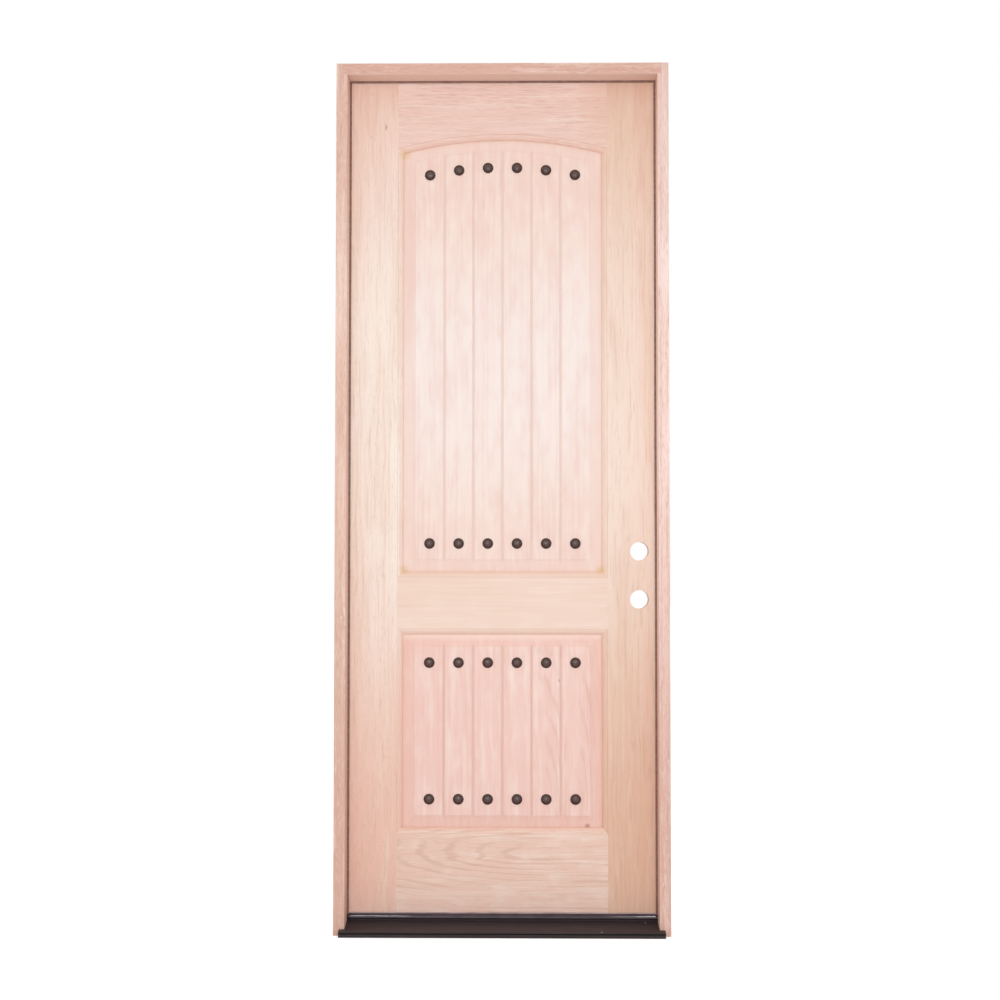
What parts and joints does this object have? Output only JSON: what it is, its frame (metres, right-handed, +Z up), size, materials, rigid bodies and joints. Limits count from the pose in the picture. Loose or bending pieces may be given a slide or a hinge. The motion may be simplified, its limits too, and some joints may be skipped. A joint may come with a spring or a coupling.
{
  "type": "arched-panel wooden entry door with frame",
  "caption": "Pre-hung exterior wooden door: stile-and-rail slab with arched V-groove plank panels and domed nail heads, hinged in a rabbeted frame on a metal sill.",
  "frame": {"origin": "on the floor, under the middle of the frame's width and of the jambs' depth", "axes": "+Z up, +Y inward through the doorway, +X towards the lock side"},
  "size_m": [0.958, 0.1597, 2.498],
  "materials": {
    "jamb_wood": "planed, unfinished",
    "rail_wood": "sanded, unfinished",
    "plank_wood": "sanded, unfinished",
    "dowel_beech": "turned",
    "sill_composite": "pressed",
    "forged_iron": "dark bronze patina",
    "bronzed_steel": "satin bronze",
    "zinc_steel": "zinc plated",
    "bronze_aluminium": "dark bronze anodised",
    "cap_vinyl": "glossy",
    "seal_foam": "matte"
  },
  "bodies": {
    "frame": {"hinge_jamb": "jamb_wood", "strike_jamb": "jamb_wood", "head_jamb": "jamb_wood", "sill_deck": "bronze_aluminium", "sill_core": "sill_composite", "threshold_cap": "cap_vinyl", "hinge_jamb_seal": "seal_foam", "strike_jamb_seal": "seal_foam", "head_seal": "seal_foam", "hinge_1_jamb_leaf": "bronzed_steel", "hinge_2_jamb_leaf": "bronzed_steel", "hinge_3_jamb_leaf": "bronzed_steel", "hinge_4_jamb_leaf": "bronzed_steel", "hinge_1_pin": "bronzed_steel", "hinge_2_pin": "bronzed_steel", "hinge_3_pin": "bronzed_steel", "hinge_4_pin": "bronzed_steel", "jamb_hinge_screws": "bronzed_steel", "head_screws": "zinc_steel", "sill_screws": "zinc_steel"},
    "door": {"hinge_stile": "rail_wood", "lock_stile": "rail_wood", "top_rail": "rail_wood", "lock_rail": "rail_wood", "bottom_rail": "rail_wood", "upper_plank_1": "plank_wood", "upper_plank_2": "plank_wood", "upper_plank_3": "plank_wood", "upper_plank_4": "plank_wood", "upper_plank_5": "plank_wood", "upper_plank_6": "plank_wood", "lower_plank_1": "plank_wood", "lower_plank_2": "plank_wood", "lower_plank_3": "plank_wood", "lower_plank_4": "plank_wood", "lower_plank_5": "plank_wood", "lower_plank_6": "plank_wood", "upper_top_clavos": "forged_iron", "upper_bottom_clavos": "forged_iron", "lower_top_clavos": "forged_iron", "lower_bottom_clavos": "forged_iron", "rail_dowels": "dowel_beech", "hinge_1_door_leaf": "bronzed_steel", "hinge_2_door_leaf": "bronzed_steel", "hinge_3_door_leaf": "bronzed_steel", "hinge_4_door_leaf": "bronzed_steel", "door_hinge_screws": "bronzed_steel", "door_sweep": "seal_foam"}
  },
  "joints": [
    {"name": "door_swing", "type": "hinge", "parent": "frame", "child": "door", "pos_m": [-0.4585, 0.0707, 1.249], "axis": [0, 0, 1], "range_deg": [0, 170]}
  ]
}
